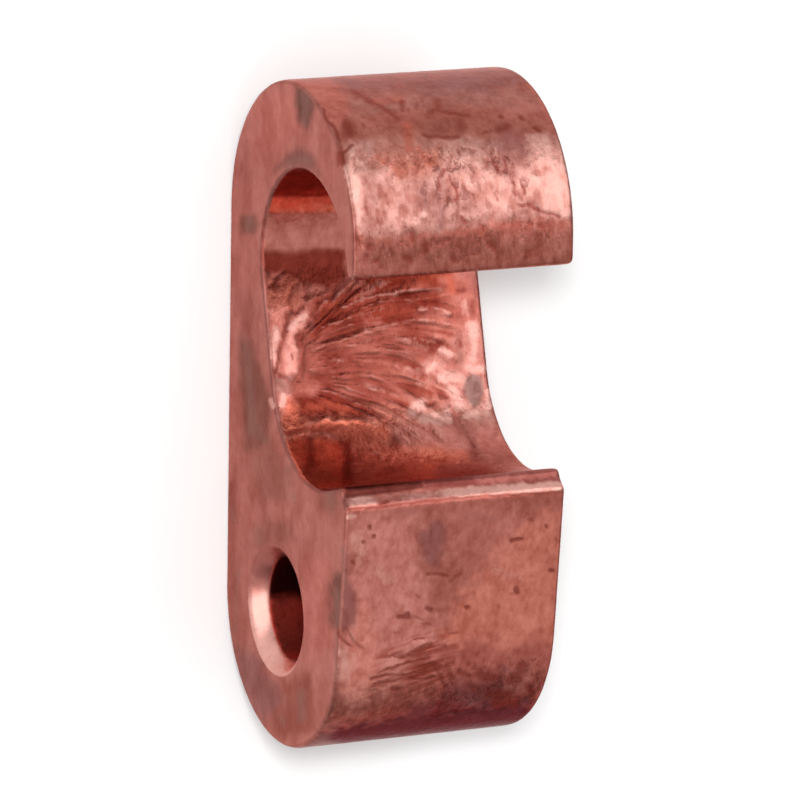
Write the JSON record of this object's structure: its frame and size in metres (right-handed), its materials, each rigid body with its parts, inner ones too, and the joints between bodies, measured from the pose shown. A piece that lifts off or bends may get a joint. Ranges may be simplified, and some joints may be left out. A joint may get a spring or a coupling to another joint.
{
  "type": "ground tap connector",
  "caption": "One-piece copper hook that closes round a ground rod, with a countersunk bore in its tail for the tap cable.",
  "frame": {"origin": "middle of the footprint, on the flat spine that the part lies on", "axes": "+X along the rod and the cable bore, +Y from the bored tail to the hook, +Z out of the spine towards the open mouth"},
  "size_m": [0.0188, 0.0532, 0.0232],
  "materials": {
    "copper": "satin, mottled from handling"
  },
  "bodies": {
    "root": {"connector_body": "copper"}
  },
  "joints": []
}
